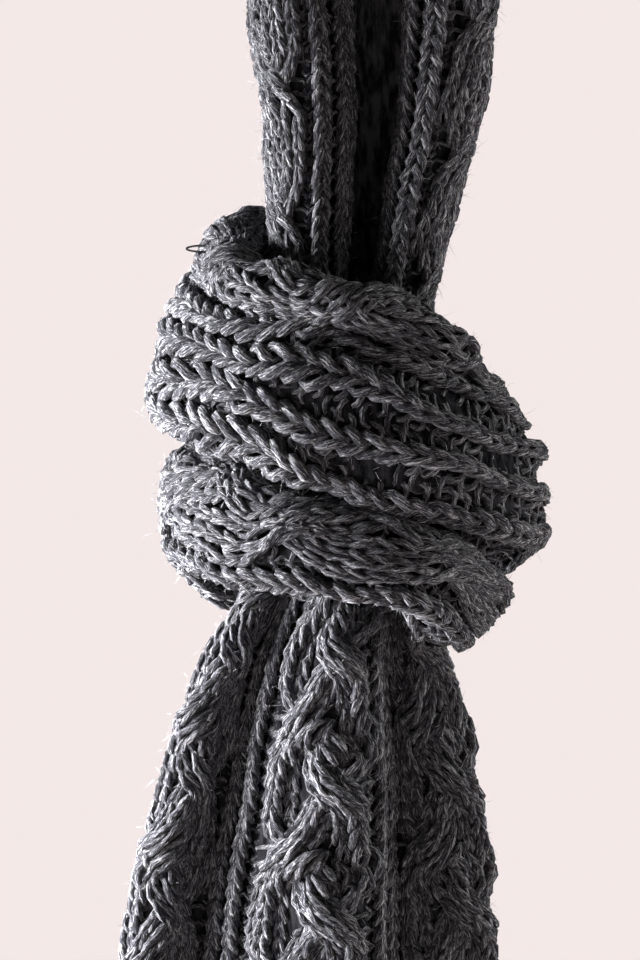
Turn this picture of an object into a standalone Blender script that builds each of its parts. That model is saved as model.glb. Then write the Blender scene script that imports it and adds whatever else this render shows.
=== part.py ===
"""Cable-knit scarf, held up by one gathered end and tied in one overhand knot.

One knitted strip is followed from end to end: it hangs from the held end, turns out of the
knot at the lower right, crosses the front, goes round the back, crosses the front again
above its first pass, turns over behind the hanging stretch and leaves the knot as the tail.
The two passes that run hidden through the middle of the knot share one rounded solid.

Metres, +Z up, front towards -Y, left is -X. The origin is where the gathered end is held.
The tables are in millimetres and degrees, measured from the middle of the knot.
"""

from collections import namedtuple

import bmesh
import bpy
import numpy as np
from mathutils import Matrix, Vector

MM = 0.001
CLOTH = 5.5  # thickness of the cable knit
GAP = 0.3  # between stretches that meet end to end
KNOT_DROP = 420.0  # from the held end down to the middle of the knot
KNOT = Vector((0.0, 0.0, -KNOT_DROP * MM))

# ---- the hanging stretch and the tail: upright stretches, one row for each level ----

Level = namedtuple("Level", "height x y half_width half_depth turn")

HANGING = [
    Level(420, 0, 0, 26, 20, 0),
    Level(350, 2, 1, 31, 19, 5),
    Level(270, 5, 1, 35, 19, -3),
    Level(190, 6, 0, 35, 19, 2),
    Level(123, 6, 0, 32, 19, 0),
    Level(90, 6, -1, 27.5, 19, 0),
    Level(66, 3.5, -2, 23.5, 18.5, 0),
    Level(50, 2, -3, 21, 17, 0),
    Level(38, 1, -4, 19.5, 15.5, 0),
    Level(8, 1, -3, 18.5, 14.5, 0),
]

TAIL = [
    Level(-44, -2, -2, 26, 15, 0),
    Level(-52, -4, -3, 29, 18, 0),
    Level(-60, -6, -3, 32, 20, 0),
    Level(-72, -7, -2, 36, 21, 0),
    Level(-95, -8, -1, 42.5, 21, 0),
    Level(-123, -10, 0, 48, 21, 0),
    Level(-146, -11, 0, 51, 21, 0),
    Level(-210, -11, 2, 57, 20, 2),
    Level(-290, -8, 3, 62, 19, -2),
    Level(-380, -5, 2, 66, 18, 3),
    Level(-480, -3, 0, 70, 16, 0),
]

# ---- level sections, from the left edge of the strip to the right, as shares of the level ----

Fold = namedtuple("Fold", "across forward")

CURLED_FORWARD = [
    Fold(-0.25, 0.50),
    Fold(-0.40, 0.86),
    Fold(-0.67, 1.00),
    Fold(-0.92, 0.70),
    Fold(-1.00, 0.08),
    Fold(-0.86, -0.50),
    Fold(-0.52, -0.88),
    Fold(-0.10, -1.00),
    Fold(0.30, -0.97),
    Fold(0.68, -0.75),
    Fold(0.94, -0.25),
    Fold(1.00, 0.30),
    Fold(0.86, 0.78),
    Fold(0.60, 0.95),
    Fold(0.42, 0.76),
    Fold(0.36, 0.40),
]

THREE_FOLDS = [
    Fold(-0.70, -0.70),
    Fold(-0.90, -0.52),
    Fold(-1.00, -0.14),
    Fold(-0.96, 0.16),
    Fold(-0.85, 0.20),
    Fold(-0.74, -0.04),
    Fold(-0.60, -0.08),
    Fold(-0.48, 0.04),
    Fold(-0.30, 0.50),
    Fold(-0.11, 0.80),
    Fold(0.12, 1.00),
    Fold(0.30, 0.76),
    Fold(0.38, 0.28),
    Fold(0.52, -0.10),
    Fold(0.69, 0.06),
    Fold(0.88, 0.04),
    Fold(1.00, -0.22),
    Fold(0.87, -0.60),
    Fold(0.68, -0.74),
]

# ---- the wraps round the knot, one row for each station ----
# angle: round the knot from above, 0 at the right, falling as the strip goes on
# radius, height: middle of the outer face; lower, upper: from there to its two edges
# depth: how far the edges roll in; lean: how far the face tips up; crease: under its top roll

Station = namedtuple("Station", "angle radius height lower upper depth lean crease")

WRAPS = [
    Station(-14, 26, -54, 6, 17, 0.40, -56, 0),
    Station(-30, 33, -55, 6.5, 19, 0.50, -42, 0),
    Station(-45, 41.5, -49, 8, 15, 0.65, -22, 0),
    Station(-60, 48, -38.5, 9, 10.4, 0.85, -8, 0),
    Station(-75, 50, -33, 10, 8.7, 0.95, -4, 0),
    Station(-95, 50, -29.5, 10, 9.3, 1, 0, 0),
    Station(-120, 50, -26.5, 12, 11.7, 1, 0, 0),
    Station(-145, 49.5, -23, 13.5, 13.6, 1, 0, 0),
    Station(-180, 49, -19, 15.5, 15.4, 1, 0, 0),
    Station(-205, 48, -20, 24, 22, 1, 0, 0),
    Station(-235, 47, -22, 28, 30, 1, 0, 0),
    Station(-270, 47, -21, 28, 31.3, 1, 0, 0),
    Station(-305, 47, -20, 25, 30, 1, 6, 0),
    Station(-335, 47.5, -14, 21.5, 27, 0.9, 14, 0),
    Station(-360, 48.5, -6, 22, 23, 0.8, 20, 0),
    Station(-390, 49, -0.5, 24, 20.5, 0.9, 19, 0.2),
    Station(-420, 50, 5, 24.4, 23.5, 1, 11, 0.7),
    Station(-450, 50, 12, 25.2, 26, 1, 6, 1),
    Station(-482, 50, 19, 26.5, 25, 1, 9, 1),
    Station(-510, 49, 25, 26, 25, 1, 16, 0.8),
    Station(-535, 47, 32, 28, 25, 0.95, 20, 0.4),
    Station(-560, 45, 41, 33, 24, 0.8, 22, 0),
    Station(-585, 42.5, 46, 29, 20, 0.70, 18, 0),
    Station(-608, 40, 43, 22, 17, 0.60, 12, 0),
    Station(-626, 37.5, 32, 16, 15, 0.60, 10, 0),
    Station(-636, 36, 20, 14, 15, 0.60, 8, 0),
]

# the stretches of the wraps that show, from one angle to the next
WRAP_LOWER = (-14, -180)
WRAP_BACK = (-180, -360)
WRAP_UPPER = (-360, -636)

# ---- wrap sections, from the lower edge to the upper: plain, and with a roll along the top ----
# level is a share of the distance to the edge on that side, out is in millimetres

Profile = namedtuple("Profile", "level out rolled_level rolled_out")

WRAP_SECTION = [
    Profile(-0.35, -20, -0.35, -20),
    Profile(-0.76, -16, -0.76, -16),
    Profile(-0.97, -9, -0.97, -9),
    Profile(-0.86, -2.5, -0.86, -2.5),
    Profile(-0.50, 0.5, -0.50, 0.8),
    Profile(-0.15, 1.5, -0.15, 2.2),
    Profile(0.15, 1.5, 0.20, 1.6),
    Profile(0.40, 1, 0.44, -1.8),
    Profile(0.62, 0, 0.57, -5.5),
    Profile(0.80, -1.5, 0.72, -0.4),
    Profile(0.92, -4, 0.90, 2.2),
    Profile(0.99, -9, 1.04, -4),
    Profile(0.80, -16, 0.92, -13),
    Profile(0.40, -20, 0.60, -18),
]

# ---- the rounded solid of the two hidden passes ----

CORE_HALF_WIDTH = 21.0
CORE_HALF_DEPTH = 20.0
CORE_TOP = 6.5
CORE_BOTTOM = -42.5
CORE_ROUNDING = 9.0

CHARCOAL = (0.045, 0.046, 0.050, 1.0)
CHARCOAL_SHADED = (0.036, 0.037, 0.041, 1.0)


def flow(keys, values, at):
    """Smooth cubic through the rows of a table, read at the given keys."""
    keys = np.asarray(keys, float)
    values = np.asarray(values, float)
    if keys[0] > keys[-1]:
        keys, values = keys[::-1], values[::-1]
    slopes = np.gradient(values, keys, axis=0)
    low = np.clip(np.searchsorted(keys, at, side="right") - 1, 0, len(keys) - 2)
    step = (keys[low + 1] - keys[low])[:, None]
    share = (at - keys[low])[:, None] / step
    return (
        values[low] * (2 * share**3 - 3 * share**2 + 1)
        + slopes[low] * step * (share**3 - 2 * share**2 + share)
        + values[low + 1] * (3 * share**2 - 2 * share**3)
        + slopes[low + 1] * step * (share**3 - share**2)
    )


def outline(points, count):
    """A smooth outline through a section's points, with evenly spaced points of its own."""
    fine = flow(np.arange(len(points)), points, np.linspace(0, len(points) - 1, 300))
    runs = np.linalg.norm(np.diff(fine, axis=0), axis=1)
    along = np.concatenate([[0.0], np.cumsum(runs)])
    wanted = np.linspace(0.0, along[-1], count)
    return np.stack([np.interp(wanted, along, axis) for axis in fine.T], axis=1)


def unit(vectors):
    return vectors / np.linalg.norm(vectors, axis=-1, keepdims=True)


def upright_rows(levels, folds, columns, heights):
    """Rows of points of a stretch that hangs down, at the given heights."""
    folds = np.array(folds)
    rows = []
    for size in flow([level.height for level in levels], levels, heights):
        height, x, y, half_width, half_depth, turn = size
        section = outline(folds * (half_width, half_depth), columns)
        cosine, sine = np.cos(np.radians(turn)), np.sin(np.radians(turn))
        across = x + section[:, 0] * cosine + section[:, 1] * sine
        back = y + section[:, 0] * sine - section[:, 1] * cosine
        rows.append(np.stack([across, back, np.full(columns, height)], axis=1))
    return np.array(rows)


def wrap_middle(angles):
    """The wraps' sizes and the middle of their outer face, at the given angles."""
    sizes = flow([station.angle for station in WRAPS], WRAPS, angles)
    turn, radius = np.radians(angles), sizes[:, 1]
    return sizes, np.stack([radius * np.cos(turn), radius * np.sin(turn), sizes[:, 2]], axis=1)


def wrap_rows(columns, angles):
    """Rows of points of the stretch that goes round the knot, at the given angles."""
    sizes, middle = wrap_middle(angles)
    along = wrap_middle(angles - 0.5)[1] - wrap_middle(angles + 0.5)[1]
    turn = np.radians(angles)
    away = np.stack([np.cos(turn), np.sin(turn), np.zeros_like(turn)], axis=1)
    flat_across = unit(np.cross(along, away))
    flat_out = unit(np.cross(flat_across, along))
    shape = np.array(WRAP_SECTION)
    rows = []
    for row, (_, _, _, lower, upper, depth, lean, crease) in enumerate(sizes):
        tip = np.radians(lean)
        out = flat_out[row] * np.cos(tip) + flat_across[row] * np.sin(tip)
        across = flat_across[row] * np.cos(tip) - flat_out[row] * np.sin(tip)
        blend = shape[:, :2] * (1 - crease) + shape[:, 2:] * crease
        level = blend[:, 0] * np.where(blend[:, 0] < 0, lower, upper)
        section = outline(np.stack([level, blend[:, 1] * depth], axis=1), columns)
        rows.append(middle[row] + section[:, :1] * across + section[:, 1:] * out)
    return np.array(rows)


def cloth_sides(rows_at, keys):
    """The two faces of the cloth, half its thickness either side of its middle surface."""
    middle = rows_at(keys)
    little = 0.05 * (keys[1] - keys[0])
    along = rows_at(keys + little) - rows_at(keys - little)
    across = np.gradient(middle, axis=1)
    offset = unit(np.cross(across, along)) * CLOTH / 2
    return middle + offset, middle - offset


def knit_material(name, colour):
    material = bpy.data.materials.new(name)
    material.use_nodes = True
    shader = material.node_tree.nodes["Principled BSDF"]
    shader.inputs["Base Color"].default_value = colour
    shader.inputs["Roughness"].default_value = 0.95
    shader.inputs["Metallic"].default_value = 0.0
    material.diffuse_color = colour
    return material


def cloth_piece(name, sides, collection):
    """A wall of cloth: a loft through each side's rows, closed round its four edges."""
    rows, columns = sides[0].shape[:2]
    shape = bmesh.new()
    skins = []
    for side in sides:
        points = side * MM + np.array(KNOT)
        skins.append([[shape.verts.new(point) for point in row] for row in points])
    front, back = skins
    for row in range(rows - 1):
        for column in range(columns - 1):
            for skin in (front, back):
                shape.faces.new(
                    [
                        skin[row][column],
                        skin[row][column + 1],
                        skin[row + 1][column + 1],
                        skin[row + 1][column],
                    ]
                )
    for column in range(columns - 1):
        for row in (0, -1):
            ends = (front[row][column], front[row][column + 1])
            shape.faces.new([*ends, back[row][column + 1], back[row][column]])
    for row in range(rows - 1):
        for column in (0, -1):
            ends = (front[row][column], front[row + 1][column])
            shape.faces.new([*ends, back[row + 1][column], back[row][column]])
    bmesh.ops.recalc_face_normals(shape, faces=shape.faces)
    add_piece(name, shape, CHARCOAL, collection)


def knot_core(collection):
    """The rounded solid of the two passes inside the knot."""
    shape = bmesh.new()
    bmesh.ops.create_cone(
        shape,
        cap_ends=True,
        segments=24,
        radius1=CORE_HALF_WIDTH * MM,
        radius2=CORE_HALF_WIDTH * MM,
        depth=(CORE_TOP - CORE_BOTTOM) * MM,
    )
    flatten = Matrix.Diagonal((1.0, CORE_HALF_DEPTH / CORE_HALF_WIDTH, 1.0, 1.0))
    place = Matrix.Translation(KNOT + Vector((0.0, 0.0, (CORE_TOP + CORE_BOTTOM) / 2 * MM)))
    bmesh.ops.transform(shape, matrix=place @ flatten, verts=shape.verts)
    core = add_piece("knot_core", shape, CHARCOAL_SHADED, collection)
    rounding = core.modifiers.new("rounded ends", "BEVEL")
    rounding.width = CORE_ROUNDING * MM
    rounding.segments = 3


def add_piece(name, shape, colour, collection):
    mesh = bpy.data.meshes.new(name)
    shape.to_mesh(mesh)
    shape.free()
    mesh.shade_smooth()
    mesh.materials.append(knit_material(name, colour))
    piece = bpy.data.objects.new(name, mesh)
    collection.objects.link(piece)
    return piece


def upright_piece(name, levels, folds, rows, columns, collection):
    heights = np.linspace(levels[0].height, levels[-1].height, rows)

    def rows_at(keys):
        return upright_rows(levels, folds, columns, keys)

    cloth_piece(name, cloth_sides(rows_at, heights), collection)


def wrap_piece(name, span, rows, columns, collection):
    """One stretch of the wraps, drawn back at both ends by half the gap to its neighbours."""
    drawn_back = np.degrees(GAP / 2 / min(station.radius for station in WRAPS))
    angles = np.linspace(span[0] - drawn_back, span[1] + drawn_back, rows)

    def rows_at(keys):
        return wrap_rows(columns, keys)

    cloth_piece(name, cloth_sides(rows_at, angles), collection)


def build():
    for old in list(bpy.data.objects):
        bpy.data.objects.remove(old, do_unlink=True)
    collection = bpy.data.collections.new("knit_scarf")
    bpy.context.scene.collection.children.link(collection)
    upright_piece("hanging_stretch", HANGING, CURLED_FORWARD, 18, 30, collection)
    wrap_piece("wrap_lower", WRAP_LOWER, 15, 18, collection)
    wrap_piece("wrap_back", WRAP_BACK, 17, 20, collection)
    wrap_piece("wrap_upper", WRAP_UPPER, 25, 23, collection)
    upright_piece("tail", TAIL, THREE_FOLDS, 18, 34, collection)
    knot_core(collection)


build()
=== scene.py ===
"""Looks of the cable-knit scarf: its yarn, loose fibres, light and camera.

The scarf is knitted here as it is made. Each stretch of the strip is a smooth surface, the same
one its solid follows. A chart of knit columns, purl columns and plaits lies across it, and each
course is one yarn that runs from edge to edge in the loops the chart asks for. A thin sheet lies
between the yarn's front and back; its dark front face is painted shade, seen between the loops.

The surface tables are in millimetres and degrees, measured from the middle of the knot.
"""

from collections import namedtuple

import bpy
import numpy as np
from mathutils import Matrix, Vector

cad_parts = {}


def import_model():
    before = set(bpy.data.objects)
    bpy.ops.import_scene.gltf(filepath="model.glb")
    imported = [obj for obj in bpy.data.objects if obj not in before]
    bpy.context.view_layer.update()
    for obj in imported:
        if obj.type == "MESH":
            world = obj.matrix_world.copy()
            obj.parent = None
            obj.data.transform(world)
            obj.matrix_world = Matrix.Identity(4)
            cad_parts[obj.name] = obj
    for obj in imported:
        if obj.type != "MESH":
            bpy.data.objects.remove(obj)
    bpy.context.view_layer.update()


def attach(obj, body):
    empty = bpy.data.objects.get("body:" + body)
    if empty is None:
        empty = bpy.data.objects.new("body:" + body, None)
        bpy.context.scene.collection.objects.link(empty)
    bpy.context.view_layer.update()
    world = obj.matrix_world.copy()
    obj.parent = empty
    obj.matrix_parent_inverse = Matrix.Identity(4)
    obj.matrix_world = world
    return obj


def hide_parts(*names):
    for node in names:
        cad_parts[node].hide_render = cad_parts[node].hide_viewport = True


MM = 0.001
KNOT = np.array([0.0, 0.0, -420.0])  # middle of the knot, from the held end
CUT_WIDTH = 0.2  # the whole strip, laid flat, in metres
SEED = 7

# ---- the surfaces of the stretches ----

Level = namedtuple("Level", "height x y half_width half_depth turn")

HANGING = [
    Level(420, 0, 0, 26, 20, 0),
    Level(350, 2, 1, 31, 19, 5),
    Level(270, 5, 1, 35, 19, -3),
    Level(190, 6, 0, 35, 19, 2),
    Level(123, 6, 0, 32, 19, 0),
    Level(90, 6, -1, 27.5, 19, 0),
    Level(66, 3.5, -2, 23.5, 18.5, 0),
    Level(50, 2, -3, 21, 17, 0),
    Level(38, 1, -4, 19.5, 15.5, 0),
    Level(8, 1, -3, 18.5, 14.5, 0),
]

TAIL = [
    Level(-44, -2, -2, 26, 15, 0),
    Level(-52, -4, -3, 29, 18, 0),
    Level(-60, -6, -3, 32, 20, 0),
    Level(-72, -7, -2, 36, 21, 0),
    Level(-95, -8, -1, 42.5, 21, 0),
    Level(-123, -10, 0, 48, 21, 0),
    Level(-146, -11, 0, 51, 21, 0),
    Level(-210, -11, 2, 57, 20, 2),
    Level(-290, -8, 3, 62, 19, -2),
    Level(-380, -5, 2, 66, 18, 3),
    Level(-480, -3, 0, 70, 16, 0),
]

# level sections, from the left edge of the strip to the right, as shares of the level
Fold = namedtuple("Fold", "across forward")

CURLED_FORWARD = [
    Fold(-0.25, 0.50),
    Fold(-0.40, 0.86),
    Fold(-0.67, 1.00),
    Fold(-0.92, 0.70),
    Fold(-1.00, 0.08),
    Fold(-0.86, -0.50),
    Fold(-0.52, -0.88),
    Fold(-0.10, -1.00),
    Fold(0.30, -0.97),
    Fold(0.68, -0.75),
    Fold(0.94, -0.25),
    Fold(1.00, 0.30),
    Fold(0.86, 0.78),
    Fold(0.60, 0.95),
    Fold(0.42, 0.76),
    Fold(0.36, 0.40),
]

THREE_FOLDS = [
    Fold(-0.70, -0.70),
    Fold(-0.90, -0.52),
    Fold(-1.00, -0.14),
    Fold(-0.96, 0.16),
    Fold(-0.85, 0.20),
    Fold(-0.74, -0.04),
    Fold(-0.60, -0.08),
    Fold(-0.48, 0.04),
    Fold(-0.30, 0.50),
    Fold(-0.11, 0.80),
    Fold(0.12, 1.00),
    Fold(0.30, 0.76),
    Fold(0.38, 0.28),
    Fold(0.52, -0.10),
    Fold(0.69, 0.06),
    Fold(0.88, 0.04),
    Fold(1.00, -0.22),
    Fold(0.87, -0.60),
    Fold(0.68, -0.74),
]

# the wraps: angle round the knot from above, 0 at the right, falling as the strip goes on;
# radius and height of the middle of the outer face, and from there to the lower and upper edge;
# how far the edges roll in, how far the face tips up, and the crease under its top roll
Station = namedtuple("Station", "angle radius height lower upper depth lean crease")

WRAPS = [
    Station(-14, 26, -54, 6, 17, 0.40, -56, 0),
    Station(-30, 33, -55, 6.5, 19, 0.50, -42, 0),
    Station(-45, 41.5, -49, 8, 15, 0.65, -22, 0),
    Station(-60, 48, -38.5, 9, 10.4, 0.85, -8, 0),
    Station(-75, 50, -33, 10, 8.7, 0.95, -4, 0),
    Station(-95, 50, -29.5, 10, 9.3, 1, 0, 0),
    Station(-120, 50, -26.5, 12, 11.7, 1, 0, 0),
    Station(-145, 49.5, -23, 13.5, 13.6, 1, 0, 0),
    Station(-180, 49, -19, 15.5, 15.4, 1, 0, 0),
    Station(-205, 48, -20, 24, 22, 1, 0, 0),
    Station(-235, 47, -22, 28, 30, 1, 0, 0),
    Station(-270, 47, -21, 28, 31.3, 1, 0, 0),
    Station(-305, 47, -20, 25, 30, 1, 6, 0),
    Station(-335, 47.5, -14, 21.5, 27, 0.9, 14, 0),
    Station(-360, 48.5, -6, 22, 23, 0.8, 20, 0),
    Station(-390, 49, -0.5, 24, 20.5, 0.9, 19, 0.2),
    Station(-420, 50, 5, 24.4, 23.5, 1, 11, 0.7),
    Station(-450, 50, 12, 25.2, 26, 1, 6, 1),
    Station(-482, 50, 19, 26.5, 25, 1, 9, 1),
    Station(-510, 49, 25, 26, 25, 1, 16, 0.8),
    Station(-535, 47, 32, 28, 25, 0.95, 20, 0.4),
    Station(-560, 45, 41, 33, 24, 0.8, 22, 0),
    Station(-585, 42.5, 46, 29, 20, 0.70, 18, 0),
    Station(-608, 40, 43, 22, 17, 0.60, 12, 0),
    Station(-626, 37.5, 32, 16, 15, 0.60, 10, 0),
    Station(-636, 36, 20, 14, 15, 0.60, 8, 0),
]

WRAP_LOWER = (-14, -180)
WRAP_BACK = (-180, -360)
WRAP_UPPER = (-360, -636)

# wrap sections, from the lower edge to the upper: plain, and with a roll along the top
Profile = namedtuple("Profile", "level out rolled_level rolled_out")

WRAP_SECTION = [
    Profile(-0.35, -20, -0.35, -20),
    Profile(-0.76, -16, -0.76, -16),
    Profile(-0.97, -9, -0.97, -9),
    Profile(-0.86, -2.5, -0.86, -2.5),
    Profile(-0.50, 0.5, -0.50, 0.8),
    Profile(-0.15, 1.5, -0.15, 2.2),
    Profile(0.15, 1.5, 0.20, 1.6),
    Profile(0.40, 1, 0.44, -1.8),
    Profile(0.62, 0, 0.57, -5.5),
    Profile(0.80, -1.5, 0.72, -0.4),
    Profile(0.92, -4, 0.90, 2.2),
    Profile(0.99, -9, 1.04, -4),
    Profile(0.80, -16, 0.92, -13),
    Profile(0.40, -20, 0.60, -18),
]

# the rounded solid of the two hidden passes
CORE_HALF_WIDTH = 21.0
CORE_HALF_DEPTH = 20.0
CORE_TOP = 6.5
CORE_BOTTOM = -42.5

# ---- the chart: columns across the strip ----
# width at a stretch's first course and at its last, in millimetres, as knitted or squeezed there

Columns = namedtuple("Columns", "stitch count width last_width relief", defaults=[1.0])

WHOLE_CHART = [
    Columns("knit", 2, 4.5, 4.5),
    Columns("purl", 1, 4.0, 4.0),
    Columns("knit", 1, 5.2, 5.2),
    Columns("purl", 1, 4.0, 4.0),
    Columns("plait", 9, 4.0, 4.0),
    Columns("purl", 1, 4.0, 4.0),
    Columns("knit", 1, 5.2, 5.2),
    Columns("purl", 1, 4.0, 4.0),
    Columns("knit", 1, 5.2, 5.2),
    Columns("purl", 1, 4.0, 4.0),
    Columns("plait", 9, 4.0, 4.0),
    Columns("purl", 1, 4.0, 4.0),
    Columns("knit", 1, 5.2, 5.2),
    Columns("purl", 1, 4.0, 4.0),
    Columns("knit", 1, 5.2, 5.2),
    Columns("purl", 1, 4.0, 4.0),
    Columns("plait", 9, 4.0, 4.0),
    Columns("purl", 1, 4.0, 4.0),
    Columns("knit", 1, 5.2, 5.2),
    Columns("purl", 1, 4.0, 4.0),
    Columns("knit", 2, 4.5, 4.5),
]
# the hanging stretch is pulled long by the knot's weight, so its plaits lie flatter
PULLED_CHART = [columns._replace(relief=0.15) for columns in WHOLE_CHART]
# the middle plait of the tail is spread over its forward fold, and the side plaits lie flatter
TAIL_CHART = [
    columns._replace(width=columns.width * spread, last_width=columns.width * spread, relief=relief)
    for columns, spread, relief in zip(
        WHOLE_CHART, [0.92] * 10 + [1.25] + [1.0] * 10, [0.5] * 10 + [1.0] + [0.5] * 10
    )
]

WRAP_LOWER_CHART = [
    Columns("purl", 1, 4.0, 4.0),
    Columns("knit", 2, 2.5, 2.8),
    Columns("purl", 1, 8.2, 4.5),
    Columns("knit", 1, 5.2, 6.2),
    Columns("purl", 1, 2.4, 2.4),
    Columns("plait", 9, 2.7, 2.8, 0.15),
    Columns("purl", 2, 3.0, 3.0),
]

WRAP_BACK_CHART = [
    Columns("purl", 1, 4.0, 3.4),
    Columns("knit", 2, 2.8, 3.0),
    Columns("purl", 1, 4.5, 7.8),
    Columns("knit", 1, 6.2, 5.6),
    Columns("purl", 1, 2.4, 7.4),
    Columns("knit", 1, 4.6, 3.6),
    Columns("purl", 1, 2.6, 7.0),
    Columns("knit", 1, 4.6, 3.6),
    Columns("purl", 1, 2.6, 7.0),
    Columns("knit", 1, 4.6, 3.6),
    Columns("purl", 1, 2.6, 4.4),
    Columns("plait", 9, 1.4, 2.4, 0.2),
    Columns("purl", 2, 3.0, 3.0),
]

WRAP_UPPER_CHART = [
    Columns("purl", 1, 3.4, 6.0),
    Columns("knit", 2, 3.0, 3.3),
    Columns("purl", 1, 7.8, 9.0),
    Columns("knit", 1, 5.6, 6.4),
    Columns("purl", 1, 7.4, 1.2),
    Columns("knit", 1, 3.6, 6.8),
    Columns("purl", 1, 7.0, 1.0),
    Columns("knit", 1, 3.6, 6.8),
    Columns("purl", 1, 7.0, 1.0),
    Columns("knit", 1, 3.6, 6.6),
    Columns("purl", 1, 4.4, 3.0),
    Columns("plait", 9, 2.4, 2.5, 0.2),
    Columns("purl", 2, 3.0, 3.0),
]

CORE_CHART = [
    Columns("knit", 24, 5.4, 5.4),
]

# ---- the yarn ----

YARN_RADIUS = 1.25
LOOP_REACH = 0.98  # half a loop's height, in courses
LOOP_DEPTH = 1.15  # from the middle of the cloth to the yarn's middle, either way
NEIGHBOUR_EASE = 0.62  # share of half a loop past which it follows the column beside it

# the yarn is thinnest at a loop's ends, thicker on its legs, and thicker in a wide column
END_PLUMPNESS, LEG_PLUMPNESS = 0.72, 0.36
USUAL_COLUMN = 4.2
THINNEST, THICKEST = 0.7, 1.3

# how far a loop's head is wider than its foot, how far its column stands out, yarn thickness
Looks = namedtuple("Looks", "swell rise thickness")
STITCHES = {
    "knit": Looks(2.0, 1.4, 1.0),
    "purl": Looks(1.5, -1.2, 0.68),
    "plait": Looks(1.8, 1.6, 0.96),
}

# each loop's own unevenness in height, place and depth, and how much a stretch's adds to it
UNEVEN_HEIGHT, UNEVEN_PLACE, UNEVEN_DEPTH = 0.045, 0.022, 0.07
UNEVENNESS_GAIN = 1.6

# the slow unevenness of whole areas, which is the sum of a few waves
WAVES = 5
WANDER_LENGTH = 34.0  # usual length of a wave
WANDER_OUT = 0.7  # how far it moves the cloth out, for a millimetre sideways

CROSSING = 4  # courses from one crossing of a plait to the next
FIRST_CROSSING = 3.8  # its course
CROSSING_FRONT = 3.4  # how far a strand stands out where it crosses in front
CROSSING_BACK = -1.6  # and where it crosses behind
PLAIT_STITCHES = 9
STRAND_SQUEEZE = 0.94  # width of a strand, as a share of a third of the plait
BACK_SPREAD = 0.3  # how much wider it is pulled where it crosses behind
FLAT_SPREAD = 0.3  # and wider where the plait lies flat
STRAND_ROUNDING = 2.6  # how far a strand's sides lie below its middle

LOOSE_FIBRES = 33000
FIBRE_REACH = 1.9  # usual length of a loose fibre
FIBRE_SHORTEST, FIBRE_LONGEST = 0.8, 6.5
FIBRE_RADIUS = 0.05
FIBRE_ROOT = 0.85  # where it leaves the yarn, as a share of the yarn's radius
FIBRE_SPREAD = 0.55  # how far round the yarn its root may lie from the outermost line
FIBRE_OUT, FIBRE_STRAY = 0.6, 0.3  # how far it heads outward and any way, for 1 along the yarn
FIBRE_BEND, FIBRE_BEND_BACK = 0.35, 0.25  # how far its end bends any way, and back to the yarn

# the stray loop of yarn: its root, how far it stands out, and half its height
STRAY_X, STRAY_Y, STRAY_Z = -40.0, -8.0, 53.0
STRAY_REACH, STRAY_HALF_HEIGHT = 5.5, 0.9
STRAY_RADIUS = 0.3
STRAY_STEPS = 14

GROUND_DEPTH = 0.8  # from the middle of the cloth back to the sheet of painted shade
GROUND_THICKNESS = 0.6
GROUND_COLUMNS = 31
GUTTER_SLIT = 1.2  # width of the slit in the sheet of painted shade along an open gutter

COURSE = 4.5  # height of a course as it hangs
WRAP_COURSE = 5.8  # and drawn out round the knot

# sides of the yarn, samples to a loop, and how thickly the loose fibres stand on it
Detail = namedtuple("Detail", "sides samples fuzz")
CLOSEST = Detail(5, 14, 1.0)
CLOSE = Detail(5, 10, 1.2)
PLAIN = Detail(4, 6, 0.6)
PLAINEST = Detail(3, 6, 0.3)


def flow(keys, values, at):
    """Smooth cubic through the rows of a table, read at the given keys."""
    keys = np.asarray(keys, float)
    values = np.asarray(values, float)
    if keys[0] > keys[-1]:
        keys, values = keys[::-1], values[::-1]
    slopes = np.gradient(values, keys, axis=0)
    low = np.clip(np.searchsorted(keys, at, side="right") - 1, 0, len(keys) - 2)
    step = (keys[low + 1] - keys[low])[:, None]
    share = (at - keys[low])[:, None] / step
    return (
        values[low] * (2 * share**3 - 3 * share**2 + 1)
        + slopes[low] * step * (share**3 - 2 * share**2 + share)
        + values[low + 1] * (3 * share**2 - 2 * share**3)
        + slopes[low + 1] * step * (share**3 - share**2)
    )


def outline(points, count):
    """A smooth outline through a section's points, with evenly spaced points of its own."""
    fine = flow(np.arange(len(points)), points, np.linspace(0, len(points) - 1, 300))
    runs = np.linalg.norm(np.diff(fine, axis=0), axis=1)
    along = np.concatenate([[0.0], np.cumsum(runs)])
    wanted = np.linspace(0.0, along[-1], count)
    return np.stack([np.interp(wanted, along, axis) for axis in fine.T], axis=1)


def unit(vectors):
    return vectors / np.linalg.norm(vectors, axis=-1, keepdims=True)


def smooth_step(share):
    share = np.clip(share, 0.0, 1.0)
    return share * share * (3 - 2 * share)


def upright_rows(levels, folds, columns, heights):
    """Rows of points of a stretch that hangs down, at the given heights."""
    folds = np.array(folds)
    rows = []
    for size in flow([level.height for level in levels], levels, heights):
        height, x, y, half_width, half_depth, turn = size
        section = outline(folds * (half_width, half_depth), columns)
        cosine, sine = np.cos(np.radians(turn)), np.sin(np.radians(turn))
        across = x + section[:, 0] * cosine + section[:, 1] * sine
        back = y + section[:, 0] * sine - section[:, 1] * cosine
        rows.append(np.stack([across, back, np.full(columns, height)], axis=1))
    return np.array(rows)


def wrap_middle(angles):
    """The wraps' sizes and the middle of their outer face, at the given angles."""
    sizes = flow([station.angle for station in WRAPS], WRAPS, angles)
    turn, radius = np.radians(angles), sizes[:, 1]
    return sizes, np.stack([radius * np.cos(turn), radius * np.sin(turn), sizes[:, 2]], axis=1)


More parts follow.
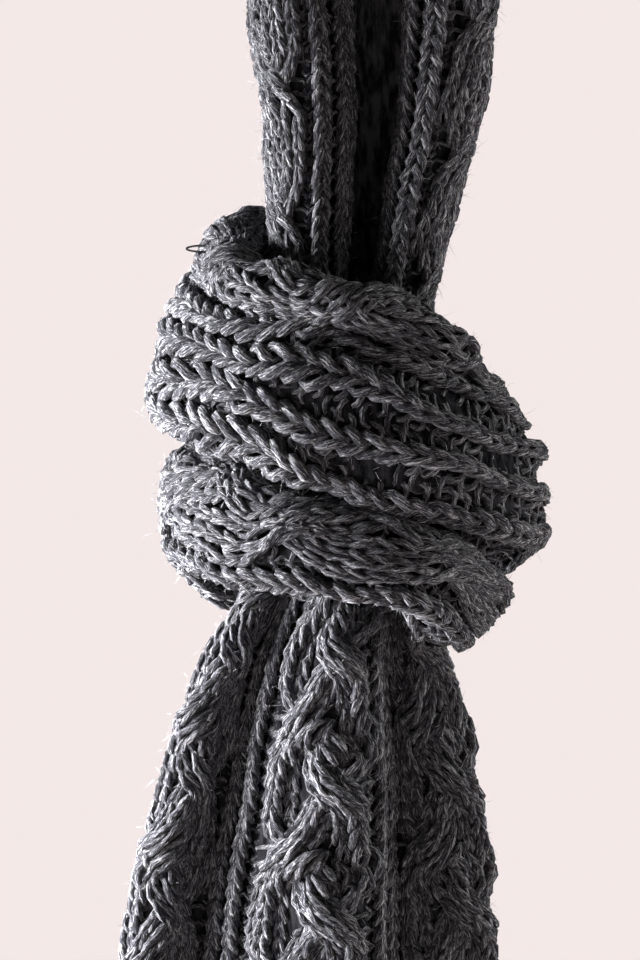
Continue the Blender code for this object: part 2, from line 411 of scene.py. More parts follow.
def wrap_rows(columns, angles):
    """Rows of points of the stretch that goes round the knot, at the given angles."""
    sizes, middle = wrap_middle(angles)
    along = wrap_middle(angles - 0.5)[1] - wrap_middle(angles + 0.5)[1]
    turn = np.radians(angles)
    away = np.stack([np.cos(turn), np.sin(turn), np.zeros_like(turn)], axis=1)
    flat_across = unit(np.cross(along, away))
    flat_out = unit(np.cross(flat_across, along))
    shape = np.array(WRAP_SECTION)
    rows = []
    for row, (_, _, _, lower, upper, depth, lean, crease) in enumerate(sizes):
        tip = np.radians(lean)
        out = flat_out[row] * np.cos(tip) + flat_across[row] * np.sin(tip)
        across = flat_across[row] * np.cos(tip) - flat_out[row] * np.sin(tip)
        blend = shape[:, :2] * (1 - crease) + shape[:, 2:] * crease
        level = blend[:, 0] * np.where(blend[:, 0] < 0, lower, upper)
        section = outline(np.stack([level, blend[:, 1] * depth], axis=1), columns)
        rows.append(middle[row] + section[:, :1] * across + section[:, 1:] * out)
    return np.array(rows)


def core_rows(columns, heights):
    """Rows of points round the core, at the given heights."""
    turn = np.radians(np.linspace(90, -270, columns))
    middle, half_height = (CORE_TOP + CORE_BOTTOM) / 2, (CORE_TOP - CORE_BOTTOM) / 2
    taper = np.clip(1 - (np.abs(heights - middle) / (half_height * 1.1)) ** 4, 0.05, 1) ** 0.25
    x = np.outer(taper, (CORE_HALF_WIDTH - 2) * np.cos(turn))
    y = np.outer(taper, (CORE_HALF_DEPTH - 2) * np.sin(turn))
    return np.stack([x, y, np.repeat(heights[:, None], columns, axis=1)], axis=2)


# ---- a stretch as a fine grid that stitches are placed on ----

Cloth = namedtuple("Cloth", "points normals widths courses")
STEPS = 2  # grid rows to a course
CHART_START, CHART_END = 0.22, 0.52  # shares of the stretch between which the widths change
SPARE = 2  # courses of surface past each end
SURFACE_MARGIN = 0.08  # and as a share of the stretch, where the surface is measured
SURFACE_ROWS = 500
GRID_COLUMNS = 151


def knitted_surface(rows_at, first, last, course, face=1):
    """A stretch's middle surface, with rows evenly spaced along its middle column."""
    margin = (last - first) * SURFACE_MARGIN
    keys = np.linspace(first - margin, last + margin, SURFACE_ROWS)
    middle = rows_at(GRID_COLUMNS, keys)[:, GRID_COLUMNS // 2]
    along = np.concatenate([[0], np.cumsum(np.linalg.norm(np.diff(middle, axis=0), axis=1))])
    ends = np.array([SURFACE_MARGIN, 1 + SURFACE_MARGIN]) / (1 + 2 * SURFACE_MARGIN)
    start, end = np.interp(ends, np.linspace(0, 1, SURFACE_ROWS), along)
    courses = round((end - start) / course)
    steps = np.arange(-SPARE * STEPS, (courses + SPARE) * STEPS + 1) / (STEPS * courses)
    wanted = np.interp(start + (end - start) * steps, along, keys)
    points = rows_at(GRID_COLUMNS, wanted)
    normals = unit(np.cross(np.gradient(points, axis=1), np.gradient(points, axis=0))) * face
    widths = np.linalg.norm(np.diff(points, axis=1), axis=2).sum(axis=1)
    return Cloth(points, normals, widths, courses)


def on_cloth(cloth, across, courses):
    """Points, outward directions and strip widths at shares across and courses along."""
    rows, columns = cloth.points.shape[:2]
    down, over = (courses + SPARE) * STEPS, across * (columns - 1)
    row = np.clip(np.floor(down).astype(int), 0, rows - 2)
    column = np.clip(np.floor(over).astype(int), 0, columns - 2)
    down, over = (down - row)[..., None], (over - column)[..., None]

    def mixed(grid):
        upper = grid[row, column] * (1 - over) + grid[row, column + 1] * over
        lower = grid[row + 1, column] * (1 - over) + grid[row + 1, column + 1] * over
        return upper * (1 - down) + lower * down

    widths = cloth.widths[row] * (1 - down[..., 0]) + cloth.widths[row + 1] * down[..., 0]
    return mixed(cloth.points), unit(mixed(cloth.normals)), widths


# ---- plaits ----


def plait_orders(crossings):
    """The strands from left to right before each crossing."""
    orders = [[0, 1, 2]]
    for crossing in range(crossings):
        order = list(orders[-1])
        left = crossing % 2
        order[left], order[left + 1] = order[left + 1], order[left]
        orders.append(order)
    return np.array(orders)


PLAIT_ORDERS = plait_orders(60)  # more crossings than any stretch has
PLAIT_PLACES = np.argsort(PLAIT_ORDERS, axis=1)  # crossing, strand -> place from the left


def plait_strand(strand, course):
    """A strand's place from the left, its lift and its width, at a course along the plait."""
    along = (course - FIRST_CROSSING) / CROSSING + 3.5  # the first crossing is the table's fourth
    crossing = np.floor(along).astype(int)
    share = along - crossing
    before = PLAIT_PLACES[crossing, strand]
    after = PLAIT_PLACES[crossing + 1, strand]
    front = np.where(crossing % 2 == 0, after < before, after > before)
    crossed = (before != after) * np.sin(np.pi * share) ** 2
    place = before + (after - before) * (0.5 * share + 0.5 * smooth_step(share))
    lift = crossed * np.where(front, CROSSING_FRONT, CROSSING_BACK)
    return place, lift, STRAND_SQUEEZE + crossed * np.where(front, 0.0, BACK_SPREAD)


# ---- courses of yarn ----


def chart_columns(chart):
    """The chart column by column: stitch names, plait starts, and edges at both ends."""
    stitches = [columns.stitch for columns in chart for _ in range(columns.count)]
    edges = []
    for width in ("width", "last_width"):
        widths = [getattr(columns, width) for columns in chart for _ in range(columns.count)]
        edges.append(np.concatenate([[0], np.cumsum(widths)]) / np.sum(widths))
    starts, at = [], 0
    for columns in chart:
        if columns.stitch == "plait":
            starts.append((at, columns.relief))
        at += columns.count
    return stitches, starts, np.array(edges)


def knit_courses(cloth, chart, first, last, detail, unevenness, rng):
    """The yarns' paths, outward directions and radii for courses first to last."""
    stitches, plaits, edges = chart_columns(chart)
    count = len(stitches)
    courses = np.arange(first, last) + 0.5
    turn = np.linspace(-np.pi, np.pi, detail.samples, endpoint=False)
    shape = (len(courses), count, detail.samples)

    spread = 1 + UNEVENNESS_GAIN * unevenness
    uneven = rng.normal(0, spread, (3, len(courses), count, 1))
    height = LOOP_REACH * (1 + UNEVEN_HEIGHT * uneven[0])
    at = courses[:, None, None] + height * np.cos(turn)

    along = smooth_step((at / cloth.courses - CHART_START) / (CHART_END - CHART_START))
    left, right = (
        edges[0][part] + (edges[1][part] - edges[0][part]) * along
        for part in (np.arange(count)[None, :, None], np.arange(1, count + 1)[None, :, None])
    )
    left, right = np.broadcast_to(left, shape).copy(), np.broadcast_to(right, shape).copy()

    looks = np.array([STITCHES[stitch] for stitch in stitches])
    facing = np.array([-1.0 if stitch == "purl" else 1.0 for stitch in stitches])
    sign, lift, thickness = (
        np.broadcast_to(blended_columns(value, turn), shape).copy()
        for value in (facing, looks[:, 1], looks[:, 2])
    )
    side = (turn + looks[:, :1] * np.sin(2 * turn)) / (2 * np.pi)

    for start, relief in plaits:
        strand_columns(start, relief, courses, at, left, right, lift)

    middle, width = (left + right) / 2, right - left
    across = middle + width * (side + UNEVEN_PLACE * uneven[1])
    usual_width = cloth.widths.mean()
    across = across + unevenness * wander(across * usual_width, at * COURSE, rng) / usual_width
    lift = lift + unevenness * WANDER_OUT * wander(across * usual_width, at * COURSE, rng)
    points, normals, strip_width = on_cloth(cloth, across, at)
    depth = LOOP_DEPTH * (1 + UNEVEN_DEPTH * uneven[2])
    points = points + normals * (lift - sign * depth * np.cos(2 * turn))[..., None]
    plump = END_PLUMPNESS + LEG_PLUMPNESS * np.abs(np.sin(turn)) ** 1.5
    filling = np.clip((width * strip_width / USUAL_COLUMN) ** 0.5, THINNEST, THICKEST)
    radii = YARN_RADIUS * thickness * plump * filling
    flat = (len(courses), count * detail.samples)
    return points.reshape(*flat, 3), normals.reshape(*flat, 3), radii.reshape(flat)


def wander(across, along, rng):
    """A smooth uneven field over the cloth, from the sum of a few random waves."""
    field = np.zeros_like(across)
    for _ in range(WAVES):
        over, down = rng.normal(0, 1, 2) / WANDER_LENGTH
        field += np.sin(2 * np.pi * (over * across + down * along + rng.uniform()))
    return field / WAVES**0.5


def blended_columns(values, turn):
    """A value of each column, eased into its neighbours' towards the ends of the loop."""
    before = np.concatenate([values[:1], values[:-1]])[:, None]
    after = np.concatenate([values[1:], values[-1:]])[:, None]
    neighbour = np.where(turn < 0, before, after)
    ease = smooth_step((np.abs(turn) / np.pi - NEIGHBOUR_EASE) / (1 - NEIGHBOUR_EASE)) / 2
    return (values[:, None] + (neighbour - values[:, None]) * ease)[None]


def strand_columns(start, relief, courses, at, left, right, lift):
    """Moves a plait's columns with their strands, in the order the yarn meets them."""
    plait_left, plait_right = left[:, start, :1], right[:, start + PLAIT_STITCHES - 1, :1]
    strand_width = (plait_right - plait_left) / 3
    places = np.stack([plait_strand(strand, courses)[0] for strand in range(3)], axis=1)
    order = np.argsort(places, axis=1, kind="stable")
    for slot in range(PLAIT_STITCHES):
        strand = order[:, slot // 3][:, None]
        place, raised, wide = plait_strand(strand, at[:, start + slot])
        stitch = slot % 3 - 1
        wide = wide + FLAT_SPREAD * (1 - relief)
        middle = place + 0.5 + stitch / 3 * wide
        left[:, start + slot] = plait_left + (middle - 1 / 6) * strand_width
        right[:, start + slot] = plait_left + (middle + 1 / 6) * strand_width
        lift[:, start + slot] += relief * (raised - STRAND_ROUNDING * stitch**2)


# ---- meshes ----

TWIST = 0.14  # radians a millimetre that the fibres turn round the yarn
FIBRE_LENGTH = 12.0  # millimetres of yarn to one unit of the fibre coordinate
NEXT_YARN = 137.0  # how far on in the fibres' pattern each course's yarn starts
MAP_GAP = 0.05  # bare edge of a yarn's strip of map, as a share of the strip


def carried_frames(paths, facing):
    """Sideways directions along each path, carried on without twisting."""
    tangents = unit(np.gradient(paths, axis=1) + 1e-9)
    normal = facing[:, 0]
    normals = np.empty_like(paths)
    for step in range(paths.shape[1]):
        tangent = tangents[:, step]
        normal = unit(normal - (normal * tangent).sum(axis=1, keepdims=True) * tangent)
        normals[:, step] = normal
    return normals, np.cross(tangents, normals)


def yarn_mesh(name, paths, facing, radii, sides):
    """Closed tubes along the paths, with a strip of map for each and the fibres' direction."""
    yarns, steps = paths.shape[:2]
    normals, binormals = carried_frames(paths, facing)
    turn = 2 * np.pi * np.arange(sides) / sides
    ring = (
        normals[:, :, None] * np.cos(turn)[:, None] + binormals[:, :, None] * np.sin(turn)[:, None]
    )
    vertices = paths[:, :, None] + ring * radii[:, :, None, None]

    index = np.arange(yarns * steps * sides).reshape(yarns, steps, sides)
    following = np.roll(index, -1, axis=2)
    quads = np.stack([index[:, :-1], following[:, :-1], following[:, 1:], index[:, 1:]], axis=-1)
    caps = np.concatenate([index[:, 0, ::-1], index[:, -1]])
    mesh = polygon_mesh(name, (vertices + KNOT) * MM, quads.reshape(-1, 4), caps)

    along = np.arange(steps) / (steps - 1)
    row = np.arange(yarns)[:, None, None]
    low, high = (
        (row + MAP_GAP + (1 - 2 * MAP_GAP) * (np.arange(sides) + more) / sides) / yarns
        for more in (0, 1)
    )
    u = np.broadcast_to(along[None, :, None], (yarns, steps, sides))
    u_corners = np.stack([u[:, :-1], u[:, :-1], u[:, 1:], u[:, 1:]], axis=-1)
    v_corners = np.broadcast_to(
        np.stack([low, high, high, low], axis=-1), (yarns, steps - 1, sides, 4)
    )
    quad_map = np.stack([u_corners, v_corners], axis=-1).reshape(-1, 2)
    cap_v = np.broadcast_to((np.arange(yarns)[:, None] + 0.5) / yarns, (yarns, sides))
    cap_map = np.concatenate([
        np.stack([np.full_like(cap_v, end), cap_v], axis=-1).reshape(-1, 2) for end in (0.0, 1.0)
    ])
    layer = mesh.uv_layers.new(name="OFBake")
    layer.data.foreach_set("uv", np.concatenate([quad_map, cap_map]).ravel().astype(np.float32))

    lengths = np.linalg.norm(np.diff(paths, axis=1), axis=2)
    length = np.concatenate([np.zeros((yarns, 1)), np.cumsum(lengths, axis=1)], axis=1)
    length = length + NEXT_YARN * np.arange(yarns)[:, None]
    angle = turn + TWIST * length[:, :, None]
    fibre = np.stack([
        np.cos(angle), np.sin(angle), np.broadcast_to(length[:, :, None] / FIBRE_LENGTH, angle.shape)
    ], axis=-1)
    attribute = mesh.attributes.new("fibre", "FLOAT_VECTOR", "POINT")
    attribute.data.foreach_set("vector", fibre.ravel().astype(np.float32))
    return mesh


def polygon_mesh(name, vertices, faces, more_faces=None):
    """A mesh from arrays of equal-sided faces."""
    mesh = bpy.data.meshes.new(name)
    groups = [faces] if more_faces is None else [faces, more_faces]
    mesh.vertices.add(vertices.size // 3)
    mesh.vertices.foreach_set("co", vertices.ravel().astype(np.float32))
    corners = np.concatenate([group.ravel() for group in groups])
    mesh.loops.add(len(corners))
    mesh.loops.foreach_set("vertex_index", corners.astype(np.int32))
    sizes = np.concatenate([np.full(len(group), group.shape[1]) for group in groups])
    mesh.polygons.add(len(sizes))
    starts = np.concatenate([[0], np.cumsum(sizes)[:-1]])
    mesh.polygons.foreach_set("loop_start", starts.astype(np.int32))
    mesh.update(calc_edges=True)
    mesh.shade_smooth()
    return mesh


def shell_mesh(name, strips, half_thickness):
    """Closed sheets round grids of points and outward directions, with their wrong sides marked."""
    vertices, faces, wrong_side = [], [], []
    for points, normals in strips:
        rows, columns = points.shape[:2]
        front = np.arange(rows * columns).reshape(rows, columns) + sum(map(len, vertices))
        back = front + rows * columns
        offset = normals * half_thickness
        outer, inner = points + offset, points - offset
        vertices.append(np.concatenate([outer.reshape(-1, 3), inner.reshape(-1, 3)]))
        sides = [
            grid_faces(front),
            grid_faces(back)[:, ::-1],
            grid_faces(np.stack([back[0], front[0]])),
            grid_faces(np.stack([front[-1], back[-1]])),
            grid_faces(np.stack([front[:, 0], back[:, 0]], axis=1)[:, ::-1]),
            grid_faces(np.stack([front[:, -1], back[:, -1]], axis=1)),
        ]
        for number, side in enumerate(sides):
            faces.append(side)
            wrong_side.append(np.full(len(side), number == 1, np.int32))
    mesh = polygon_mesh(name, (np.concatenate(vertices) + KNOT) * MM, np.concatenate(faces))
    mesh.polygons.foreach_set("material_index", np.concatenate(wrong_side))
    return mesh


def grid_faces(index):
    corners = [index[:-1, :-1], index[:-1, 1:], index[1:, 1:], index[1:, :-1]]
    return np.stack(corners, axis=-1).reshape(-1, 4)


def add_piece(mesh, material):
    piece = bpy.data.objects.new(mesh.name, mesh)
    bpy.context.scene.collection.objects.link(piece)
    mesh.materials.append(material)
    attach(piece, "root")
    return piece


# ---- materials ----


def new_material(name):
    material = bpy.data.materials.new(name)
    material.use_nodes = True
    nodes = material.node_tree.nodes
    return material, nodes, material.node_tree.links, nodes["Principled BSDF"]


def ramp_node(nodes, stops):
    ramp = nodes.new("ShaderNodeValToRGB")
    elements = ramp.color_ramp.elements
    while len(elements) < len(stops):
        elements.new(0.5)
    for element, (position, colour) in zip(elements, stops):
        element.position = position
        element.color = (*colour, 1.0)
    return ramp


def yarn_material():
    """Charcoal marl: light and dark fibres lying along a softly twisted yarn of three plies."""
    material, nodes, links, shader = new_material("charcoal_marl_yarn")
    fibre = nodes.new("ShaderNodeAttribute")
    fibre.attribute_name = "fibre"

    fine = nodes.new("ShaderNodeMapping")
    fine.inputs["Scale"].default_value = (1.2, 1.2, 1.0)
    links.new(fibre.outputs["Vector"], fine.inputs["Vector"])
    strands = noise_node(nodes, 4.0, 2.0, 0.7)
    strands.inputs["Distortion"].default_value = 0.4
    links.new(fine.outputs["Vector"], strands.inputs["Vector"])
    marl = noise_node(nodes, 1.3, 2.0, 0.5)
    links.new(fibre.outputs["Vector"], marl.inputs["Vector"])
    plies = ply_grooves(nodes, links, fibre)

    mixed = math_node(nodes, links, "MULTIPLY_ADD", marl.outputs["Fac"], 0.16, strands.outputs["Fac"])
    # the plies also make the colour a little darker in the grooves between them: painted shade
    shade = math_node(nodes, links, "MULTIPLY_ADD", plies, 0.03, mixed)
    colour = ramp_node(nodes, [
        (0.50, (0.012, 0.012, 0.015)),
        (0.58, (0.045, 0.046, 0.054)),
        (0.65, (0.150, 0.151, 0.164)),
        (0.74, (0.48, 0.48, 0.49)),
    ])
    links.new(shade, colour.inputs["Fac"])
    links.new(colour.outputs["Color"], shader.inputs["Base Color"])

    height = math_node(nodes, links, "MULTIPLY_ADD", plies, 0.25, strands.outputs["Fac"])
    bump = nodes.new("ShaderNodeBump")
    bump.inputs["Strength"].default_value = 1.0
    bump.inputs["Distance"].default_value = 0.0008
    links.new(height, bump.inputs["Height"])
    links.new(bump.outputs["Normal"], shader.inputs["Normal"])

    shader.inputs["Roughness"].default_value = 1.0
    shader.inputs["Specular IOR Level"].default_value = 0.05
    shader.inputs["Sheen Weight"].default_value = 0.08
    shader.inputs["Sheen Roughness"].default_value = 0.6
    return material


def noise_node(nodes, scale, detail, roughness):
    noise = nodes.new("ShaderNodeTexNoise")
    noise.inputs["Scale"].default_value = scale
    noise.inputs["Detail"].default_value = detail
    noise.inputs["Roughness"].default_value = roughness
    return noise


def math_node(nodes, links, operation, *values):
    """A maths node on links and plain numbers; gives its output."""
    node = nodes.new("ShaderNodeMath")
    node.operation = operation
    for socket, value in zip(node.inputs, values):
        if isinstance(value, (int, float)):
            socket.default_value = value
        else:
            links.new(value, socket)
    return node.outputs[0]


def ply_grooves(nodes, links, fibre):
    """The cosine of three times the angle round the yarn: 1 on a ply, -1 between two."""
    parts = nodes.new("ShaderNodeSeparateXYZ")
    links.new(fibre.outputs["Vector"], parts.inputs[0])
    cosine = parts.outputs["X"]
    square = math_node(nodes, links, "MULTIPLY", cosine, cosine)
    factor = math_node(nodes, links, "MULTIPLY_ADD", square, 4.0, -3.0)
    return math_node(nodes, links, "MULTIPLY", factor, cosine)


def gap_sheet_material(name, dark, light):
    """Mottled sheet between the loops: dark painted shade in front, lighter grey on its wrong side.
    """
    material, nodes, links, shader = new_material(name)
    place = nodes.new("ShaderNodeTexCoord")
    stretched = nodes.new("ShaderNodeMapping")
    stretched.inputs["Scale"].default_value = (500.0, 500.0, 130.0)
    links.new(place.outputs["Object"], stretched.inputs["Vector"])
    sheet_mottle = noise_node(nodes, 1.0, 3.0, 0.6)
    links.new(stretched.outputs["Vector"], sheet_mottle.inputs["Vector"])
    colour = ramp_node(nodes, [(0.40, (dark, dark, dark * 1.2)), (0.62, (light, light, light * 1.1))])
    links.new(sheet_mottle.outputs["Fac"], colour.inputs["Fac"])
    links.new(colour.outputs["Color"], shader.inputs["Base Color"])
    shader.inputs["Roughness"].default_value = 1.0
    shader.inputs["Specular IOR Level"].default_value = 0.0
    return material


def plain_material(name, colour, roughness):
    material, _, _, shader = new_material(name)
    shader.inputs["Base Color"].default_value = (*colour, 1.0)
    shader.inputs["Roughness"].default_value = roughness
    shader.inputs["Specular IOR Level"].default_value = 0.1
    return material


# ---- the pieces ----

Stretch = namedtuple(
    "Stretch",
    "node rows_at first last course face chart unevenness parts flat held open_gutters",
    defaults=[()],
)


def hanging_surface(columns, heights):
    return upright_rows(HANGING, CURLED_FORWARD, columns, heights)


def tail_surface(columns, heights):
    return upright_rows(TAIL, THREE_FOLDS, columns, heights)


# parts are the yarn pieces: name, first course, last course (None is the last of all), detail
STRETCHES = [
    Stretch(
        "hanging_stretch", hanging_surface, 420, 8, COURSE, 1, PULLED_CHART, 0.4,
        [("hanging_top", 0, 64, PLAINEST), ("hanging", 64, None, CLOSE)], (CUT_WIDTH, 0.413), "hung",
    ),
    Stretch(
        "wrap_lower", wrap_rows, *WRAP_LOWER, WRAP_COURSE, 1, WRAP_LOWER_CHART, 0.8,
        [("wrap_lower", 0, None, CLOSE)], (0.060, 0.157), "folded",
    ),
    Stretch(
        "wrap_back", wrap_rows, *WRAP_BACK, WRAP_COURSE, 1, WRAP_BACK_CHART, 0.8,
        [("wrap_back", 0, None, PLAIN)], (0.110, 0.155), "folded",
    ),
    Stretch(
        "wrap_upper", wrap_rows, *WRAP_UPPER, WRAP_COURSE, 1, WRAP_UPPER_CHART, 1.4,
        [("wrap_upper", 0, None, CLOSEST)], (0.105, 0.251), "folded",
    ),
    Stretch(
        "tail", tail_surface, -44, -480, COURSE, -1, TAIL_CHART, 0.4,
        [("tail", 0, 26, CLOSE), ("tail_end", 26, None, PLAINEST)], (CUT_WIDTH, 0.439), "hung",
        (28, 30, 42),
    ),
]


def ground_strips(cloth, chart, open_gutters):
    """The sheet of painted shade as grids, parted along the open gutters."""
    _, _, edges = chart_columns(chart)
    cuts = [(edges[0][column] + edges[0][column + 1]) / 2 for column in open_gutters]
    slit = GUTTER_SLIT / 2 / cloth.widths.mean()
    lefts = [0.0, *(cut + slit for cut in cuts)]
    rights = [*(cut - slit for cut in cuts), 1.0]
    strips = []
    for left, right in zip(lefts, rights):
        columns = max(3, round((right - left) * GROUND_COLUMNS))
        across, at = np.meshgrid(np.linspace(left, right, columns), np.arange(cloth.courses + 1.0))
        points, normals, _ = on_cloth(cloth, across, at)
        strips.append((points - normals * GROUND_DEPTH, normals))
    return strips


def knit_stretch(stretch, yarn, gap_sheets, rng):
    """The sheet of painted shade of one stretch, with its courses of yarn on it."""
    cloth = knitted_surface(
        stretch.rows_at, stretch.first, stretch.last, stretch.course, stretch.face
    )
    pieces, yarns = [], []
    for name, first, last, detail in stretch.parts:
        last = cloth.courses if last is None else last
        paths, normals, radii = knit_courses(
            cloth, stretch.chart, first, last, detail, stretch.unevenness, rng
        )
        mesh = yarn_mesh(name + "_yarn", paths, normals, radii, detail.sides)
        pieces.append(add_piece(mesh, yarn))
        yarns.append((paths, normals, radii, np.full(radii.shape, detail.fuzz)))
    strips = ground_strips(cloth, stretch.chart, stretch.open_gutters)
    shell = shell_mesh(stretch.node + "_ground", strips, GROUND_THICKNESS / 2)
    # its front faces are dark painted shade between the loops; its wrong side is a lighter grey
    ground = add_piece(shell, gap_sheets[0])
    shell.materials.append(gap_sheets[1])
    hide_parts(stretch.node)
    return yarns


def knit_core(yarn, shade_sheet, rng):
    """The hidden passes as one rounded body, with courses of yarn round it."""
    cloth = knitted_surface(core_rows, CORE_TOP, CORE_BOTTOM, COURSE)
    paths, normals, radii = knit_courses(cloth, CORE_CHART, 0, cloth.courses, PLAIN, 0, rng)
    add_piece(yarn_mesh("knot_core_yarn", paths, normals, radii, PLAIN.sides), yarn)
    rings = cloth.points[SPARE * STEPS : -SPARE * STEPS, :-1:6]
    index = np.arange(rings[..., 0].size).reshape(rings.shape[:2])
    closed = np.concatenate([index, index[:, :1]], axis=1)
    mesh = polygon_mesh(
        "knot_core_body",
        (rings + KNOT) * MM,
        grid_faces(closed)[:, ::-1],
        np.stack([index[0], index[-1][::-1]]),
    )
    # the hidden body wears the same dark painted shade
    body = add_piece(mesh, shade_sheet)
    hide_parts("knot_core")


def loose_fibres(yarns, count, material, rng):
    """Fine bent fibres that stand off the yarn, each a closed spindle with two pointed ends."""
    paths, facing, radii, fuzz = (
        np.concatenate([yarn[part].reshape(-1, *yarn[part].shape[2:]) for yarn in yarns])
        for part in range(4)
    )
    chances = fuzz[1:-1] / fuzz[1:-1].sum()
    root = 1 + rng.choice(len(paths) - 2, count, p=chances)
    along = unit(paths[root + 1] - paths[root - 1])
    outward = unit(facing[root] + rng.normal(0, FIBRE_SPREAD, (count, 3)))
    outward = unit(outward - (outward * along).sum(axis=1, keepdims=True) * along)
    start = paths[root] + outward * radii[root, None] * FIBRE_ROOT
    heading = along * rng.normal(0, 1.0, (count, 1)) + outward * FIBRE_OUT
    heading = unit(heading + rng.normal(0, FIBRE_STRAY, (count, 3)))
    bend = rng.normal(0, FIBRE_BEND, (count, 3)) - outward * FIBRE_BEND_BACK
    length = rng.gamma(3.0, FIBRE_REACH / 3, (count, 1))
    length = np.clip(length, FIBRE_SHORTEST, FIBRE_LONGEST)
    inner_tip = start - heading * length * 0.15
    middle = start + heading * length * 0.45 + bend * length * 0.2
    outer_tip = start + heading * length + bend * length
    side = unit(np.cross(heading, outward + 1e-3))
    other = np.cross(heading, side)
    turn = np.radians([0, 120, 240])
    ring = side[:, None] * np.cos(turn)[:, None] + other[:, None] * np.sin(turn)[:, None]
    ring = middle[:, None] + ring * FIBRE_RADIUS
    vertices = np.concatenate([inner_tip[:, None], ring, outer_tip[:, None]], axis=1)
    spindle = np.array([[0, 2, 1], [0, 3, 2], [0, 1, 3], [4, 1, 2], [4, 2, 3], [4, 3, 1]])
    triangles = vertices.shape[1] * np.arange(count)[:, None, None] + spindle
    mesh = polygon_mesh("loose_fibres", (vertices + KNOT) * MM, triangles.reshape(-1, 3))
    layer = mesh.uv_layers.new(name="OFBake")
    corners = np.array([[0.0, 0.5], [0.5, 0.1], [0.5, 0.5], [0.5, 0.9], [1.0, 0.5]])[spindle]
    layer.data.foreach_set("uv", np.tile(corners.ravel(), count).astype(np.float32))
    return add_piece(mesh, material)


def stray_loop(yarn):
    """A thin loop of yarn pulled out of the roll at the top left of the knot."""
    turn = np.linspace(0, np.pi, STRAY_STEPS)
    path = np.stack([
        STRAY_X - STRAY_REACH * np.sin(turn),
        np.full(STRAY_STEPS, STRAY_Y),
        STRAY_Z - STRAY_HALF_HEIGHT * np.cos(turn),
    ], axis=1)
    facing = np.broadcast_to([0.0, -1.0, 0.0], path.shape)
    radii = np.full((1, STRAY_STEPS), STRAY_RADIUS)
    mesh = yarn_mesh("stray_loop", path[None], facing[None], radii, CLOSEST.sides)
    return add_piece(mesh, yarn)


# ---- light, floor and camera ----

PALE = (0.900, 0.812, 0.798)  # the warm white of the floor and the surround
FLOOR_SIZE = 12.0
FLOOR_HEIGHT = -1.5
DIM_LIGHT = 0.045  # strength of the light that comes from all round
CAMERA_PLACE = (-0.0084, -0.9, -0.4312)
CAMERA_LENS = 120.5

# place, what it points at, and size in metres; power in watts; spread in degrees
Lamp = namedtuple("Lamp", "name place target size power colour spread")

KNOT_PLACE = (0.0, 0.0, -0.42)
LAMPS = [
    Lamp("window_left", (-0.65, 0.09, -0.62), (0.0, 0.0, -0.95), 0.8, 51.0, (0.97, 0.96, 1.0), 120),
    Lamp("fill_right", (1.4, 0.25, -0.3), KNOT_PLACE, 0.7, 18.0, (1.0, 0.98, 0.96), 180),
    Lamp("wall_glow", (0.0, 1.8, -0.45), KNOT_PLACE, 5.0, 14.0, (1.0, 0.92, 0.90), 180),
]


def area_light(lamp):
    """A round soft light that the camera doesn't see."""
    light = bpy.data.lights.new(lamp.name, "AREA")
    light.shape = "DISK"
    light.size = lamp.size
    light.energy = lamp.power
    light.color = lamp.colour
    light.spread = np.radians(lamp.spread)
    holder = bpy.data.objects.new(lamp.name, light)
    holder.location = lamp.place
    aim = Vector(lamp.target) - Vector(lamp.place)
    holder.rotation_euler = aim.to_track_quat("-Z", "Y").to_euler()
    holder.visible_camera = False
    bpy.context.scene.collection.objects.link(holder)


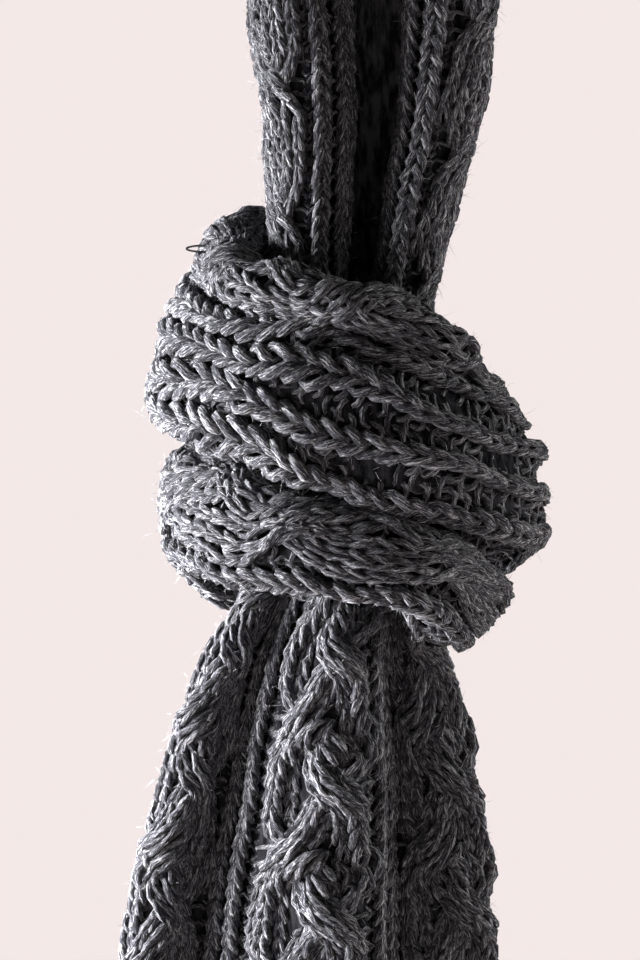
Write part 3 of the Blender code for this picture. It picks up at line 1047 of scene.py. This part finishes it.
def floor():
    """A pale glowing floor well below the scarf."""
    material = plain_material("pale_floor", (0.03, 0.03, 0.03), 0.95)
    shader = material.node_tree.nodes["Principled BSDF"]
    shader.inputs["Emission Color"].default_value = (*PALE, 1.0)
    shader.inputs["Emission Strength"].default_value = 1.0
    half = FLOOR_SIZE / 2
    square = np.array([[-half, -half, 0], [half, -half, 0], [half, half, 0], [-half, half, 0]])
    plane = bpy.data.objects.new("floor", polygon_mesh("floor", square, np.array([[0, 1, 2, 3]])))
    plane.location = (0.0, 0.0, FLOOR_HEIGHT)
    plane.data.materials.append(material)
    bpy.context.scene.collection.objects.link(plane)


def pale_surroundings():
    """A plain pale surround that is seen all round but gives only a little light."""
    world = bpy.data.worlds.new("studio")
    world.use_nodes = True
    nodes, links = world.node_tree.nodes, world.node_tree.links
    dim = nodes["Background"]
    dim.inputs["Color"].default_value = (1.0, 0.97, 0.96, 1.0)
    dim.inputs["Strength"].default_value = DIM_LIGHT
    seen = nodes.new("ShaderNodeBackground")
    seen.inputs["Color"].default_value = (*PALE, 1.0)
    ray = nodes.new("ShaderNodeLightPath")
    mixed = nodes.new("ShaderNodeMixShader")
    links.new(ray.outputs["Is Camera Ray"], mixed.inputs[0])
    links.new(dim.outputs[0], mixed.inputs[1])
    links.new(seen.outputs[0], mixed.inputs[2])
    links.new(mixed.outputs[0], nodes["World Output"].inputs["Surface"])
    bpy.context.scene.world = world


def studio():
    """A soft window low on the left, weak light from the right, and a glow from the wall behind."""
    floor()
    pale_surroundings()
    for lamp in LAMPS:
        area_light(lamp)
    bpy.context.scene.view_settings.view_transform = "Standard"


def camera():
    """Level with the knot and square to its front, from 0.9 m."""
    lens = bpy.data.cameras.new("camera")
    lens.lens = CAMERA_LENS
    lens.sensor_width = 36.0
    eye = bpy.data.objects.new("camera", lens)
    eye.location = CAMERA_PLACE
    eye.rotation_euler = (np.pi / 2, 0, 0)
    bpy.context.scene.collection.objects.link(eye)
    bpy.context.scene.camera = eye


def main():
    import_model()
    rng = np.random.default_rng(SEED)
    yarn = yarn_material()
    # dark painted shade seen between the loops, and a lighter grey for the sheet's wrong side
    gap_sheets = gap_sheet_material("painted_shade_between_loops", 0.005, 0.028), gap_sheet_material("wrong_side", 0.02, 0.16)
    yarns = []
    for stretch in STRETCHES:
        yarns.extend(knit_stretch(stretch, yarn, gap_sheets, rng))
    knit_core(yarn, gap_sheets[0], rng)
    loose_fibres(yarns, LOOSE_FIBRES, plain_material("grey_fibres", (0.40, 0.40, 0.41), 0.7), rng)
    stray_loop(yarn)
    studio()
    camera()


main()
